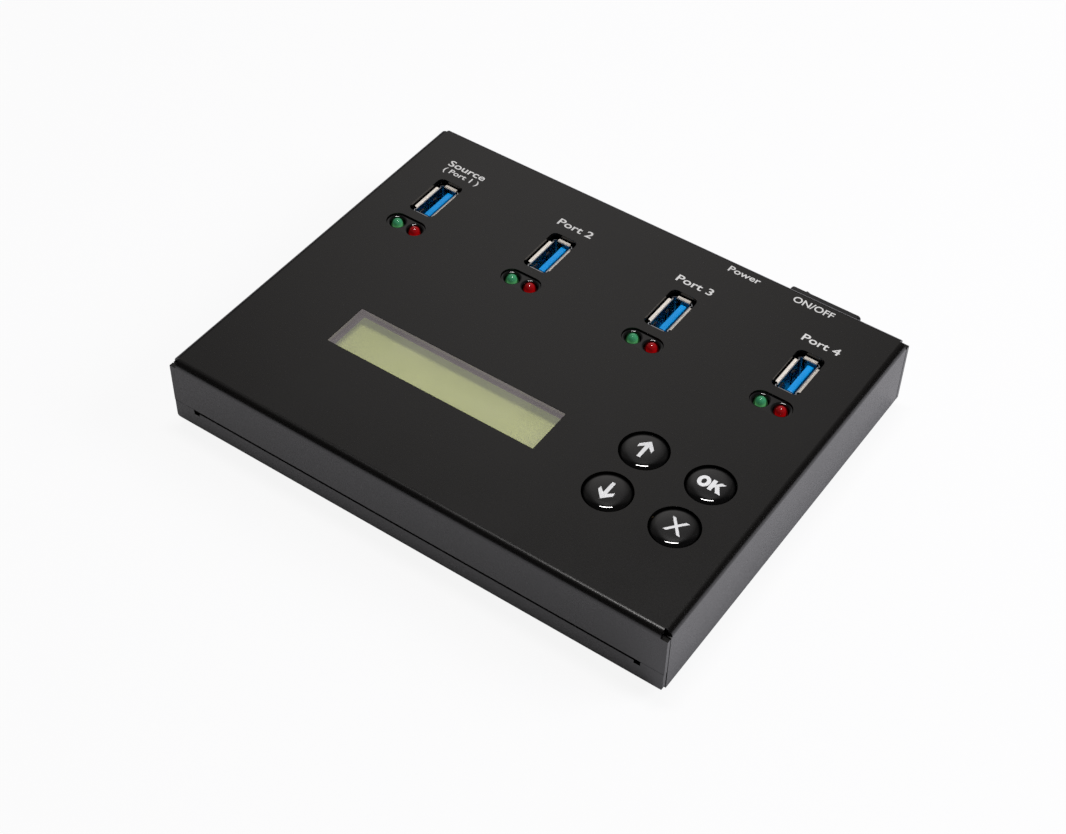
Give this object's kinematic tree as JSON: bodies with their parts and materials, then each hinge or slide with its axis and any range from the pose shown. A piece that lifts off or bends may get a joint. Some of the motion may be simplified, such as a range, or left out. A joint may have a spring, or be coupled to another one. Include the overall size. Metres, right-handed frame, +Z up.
{
  "type": "standalone usb flash drive duplicator",
  "caption": "Flat desktop USB flash drive copier: sheet steel case, top-facing ports with lamp pairs, display window, round keys and a rear rocker switch.",
  "frame": {"origin": "on the table, under the centre of the whole part's box", "axes": "+X right along the front edge, +Y to the rear wall, +Z up"},
  "size_m": [0.15, 0.1226, 0.0244],
  "materials": {
    "black_sheet": "fine satin powder coat",
    "foot_rubber": "matt",
    "plated_steel": "bright zinc plate",
    "nylon": "natural",
    "circuit_board": "solder mask",
    "chip_black": "moulded",
    "can_metal": "satin",
    "ferrite": "sintered",
    "clear_pane": "clear with a light haze",
    "display_frame": "satin black",
    "display_green": "polarising film on glass",
    "light_guide": "milky",
    "black_plastic": "moulded",
    "switch_plastic": "moulded satin",
    "key_plastic": "gloss with a fine grained top",
    "plunger_plastic": "moulded",
    "port_steel": "nickel plate",
    "port_blue": "moulded",
    "contact_gold": "gold flash",
    "lamp_green": "tinted lens",
    "lamp_red": "tinted lens",
    "terminal_brass": "tinned",
    "lead_jacket": "insulated lead"
  },
  "bodies": {
    "case": {"top_cover": "black_sheet", "bottom_tray": "black_sheet", "rubber_feet": "foot_rubber", "case_screws": "plated_steel", "cover_standoffs": "plated_steel", "board_spacers": "nylon", "main_board": "circuit_board", "controller_chip": "chip_black", "memory_chips": "chip_black", "crystal": "can_metal", "capacitors": "can_metal", "inductor": "ferrite", "chip_resistors": "chip_black", "display_pane": "clear_pane", "lcd_frame": "display_frame", "lcd_glass": "display_green", "lcd_backlight": "light_guide", "lcd_board": "circuit_board", "lcd_header": "black_plastic", "lcd_spacers": "nylon", "tact_housings": "black_plastic", "rocker_housing": "switch_plastic", "rocker_terminals": "terminal_brass", "switch_leads": "lead_jacket", "switch_connector": "nylon", "dc_jack_body": "black_plastic", "dc_jack_contacts": "plated_steel", "usb_shell_1": "port_steel", "usb_tongue_1": "port_blue", "usb_contacts_1": "contact_gold", "lamp_holder_1": "black_plastic", "lamp_green_1": "lamp_green", "lamp_red_1": "lamp_red", "usb_shell_2": "port_steel", "usb_tongue_2": "port_blue", "usb_contacts_2": "contact_gold", "lamp_holder_2": "black_plastic", "lamp_green_2": "lamp_green", "lamp_red_2": "lamp_red", "usb_shell_3": "port_steel", "usb_tongue_3": "port_blue", "usb_contacts_3": "contact_gold", "lamp_holder_3": "black_plastic", "lamp_green_3": "lamp_green", "lamp_red_3": "lamp_red", "usb_shell_4": "port_steel", "usb_tongue_4": "port_blue", "usb_contacts_4": "contact_gold", "lamp_holder_4": "black_plastic", "lamp_green_4": "lamp_green", "lamp_red_4": "lamp_red"},
    "key_up_body": {"key_up": "key_plastic", "plunger_up": "plunger_plastic"},
    "key_down_body": {"key_down": "key_plastic", "plunger_down": "plunger_plastic"},
    "key_ok_body": {"key_ok": "key_plastic", "plunger_ok": "plunger_plastic"},
    "key_cancel_body": {"key_cancel": "key_plastic", "plunger_cancel": "plunger_plastic"},
    "paddle": {"rocker_paddle": "switch_plastic"}
  },
  "joints": [
    {"name": "press_up", "type": "slide", "parent": "case", "child": "key_up_body", "axis": [0, 0, -1], "range_m": [0, 0.0003], "stiffness_N_per_m": 5000},
    {"name": "press_down", "type": "slide", "parent": "case", "child": "key_down_body", "axis": [0, 0, -1], "range_m": [0, 0.0003], "stiffness_N_per_m": 5000},
    {"name": "press_ok", "type": "slide", "parent": "case", "child": "key_ok_body", "axis": [0, 0, -1], "range_m": [0, 0.0003], "stiffness_N_per_m": 5000},
    {"name": "press_cancel", "type": "slide", "parent": "case", "child": "key_cancel_body", "axis": [0, 0, -1], "range_m": [0, 0.0003], "stiffness_N_per_m": 5000},
    {"name": "rocker_tilt", "type": "hinge", "parent": "case", "child": "paddle", "pos_m": [0.0494, 0.05706, 0.0148], "axis": [0, 0, 1], "range_deg": [0, 20]}
  ]
}
